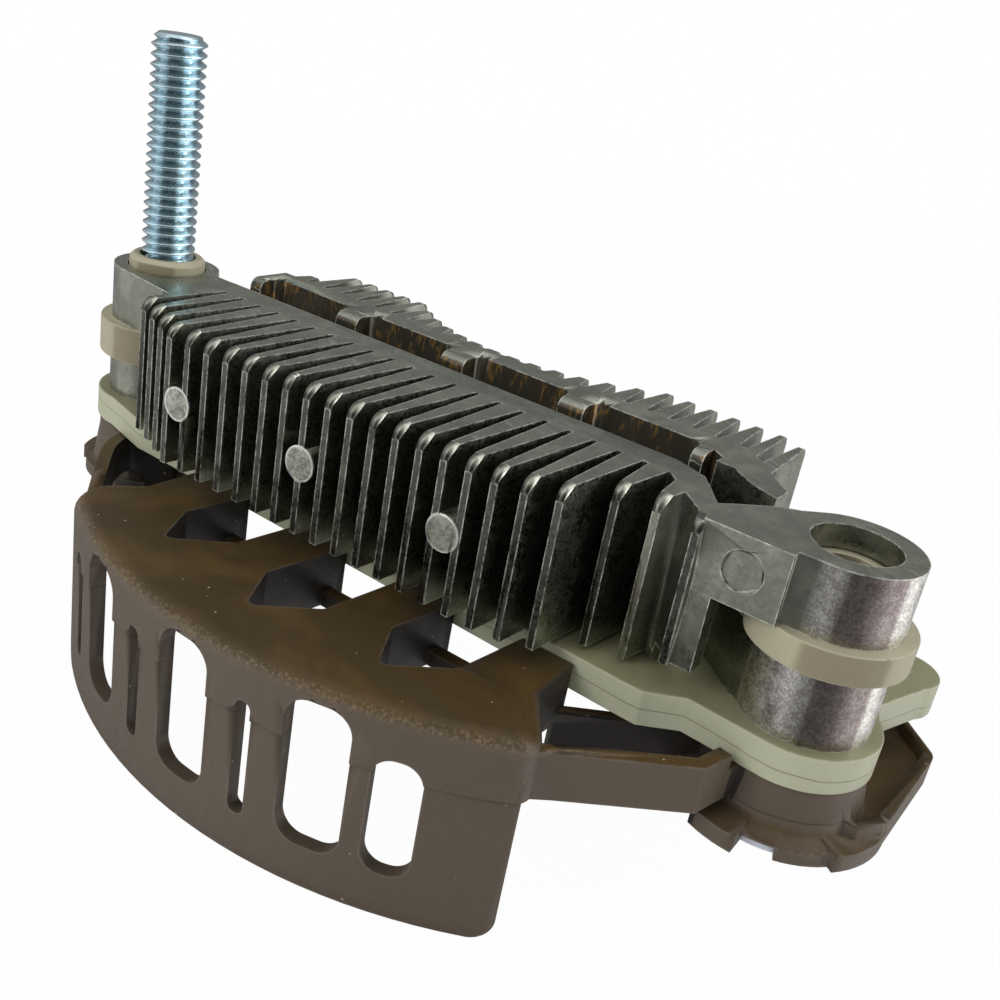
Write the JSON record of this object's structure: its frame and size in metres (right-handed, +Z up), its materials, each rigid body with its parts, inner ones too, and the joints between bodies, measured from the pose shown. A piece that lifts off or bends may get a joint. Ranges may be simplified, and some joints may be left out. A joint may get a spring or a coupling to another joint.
{
  "type": "alternator rectifier assembly",
  "caption": "Alternator bridge rectifier: two finned heat sinks held by insulated stacks over a moulded terminal plate and a slotted fan guard, with an output stud.",
  "frame": {"origin": "on the output stud's axis, level with the top faces of the two heat sinks", "axes": "+Z up along the output stud, +X along the heat sinks to the second stack, -Y to the guard's skirt"},
  "size_m": [0.137, 0.0678, 0.0833],
  "materials": {
    "cast_aluminium": "satin",
    "zinc_plated_steel": "satin",
    "beige_insulation": "matte",
    "cream_moulding": "matte",
    "brown_moulding": "satin",
    "diode_case": "matte",
    "terminal_copper": "satin"
  },
  "bodies": {
    "root": {"front_heat_sink": "cast_aluminium", "rear_heat_sink": "cast_aluminium", "output_stud": "zinc_plated_steel", "mounting_sleeve": "zinc_plated_steel", "left_insulating_bush": "beige_insulation", "right_insulating_bush": "beige_insulation", "terminal_plate": "cream_moulding", "guard": "brown_moulding", "negative_diode_1": "diode_case", "positive_diode_1": "diode_case", "phase_terminal_1": "terminal_copper", "negative_diode_2": "diode_case", "positive_diode_2": "diode_case", "phase_terminal_2": "terminal_copper", "negative_diode_3": "diode_case", "positive_diode_3": "diode_case", "phase_terminal_3": "terminal_copper", "negative_diode_4": "diode_case", "positive_diode_4": "diode_case", "phase_terminal_4": "terminal_copper"}
  },
  "joints": []
}
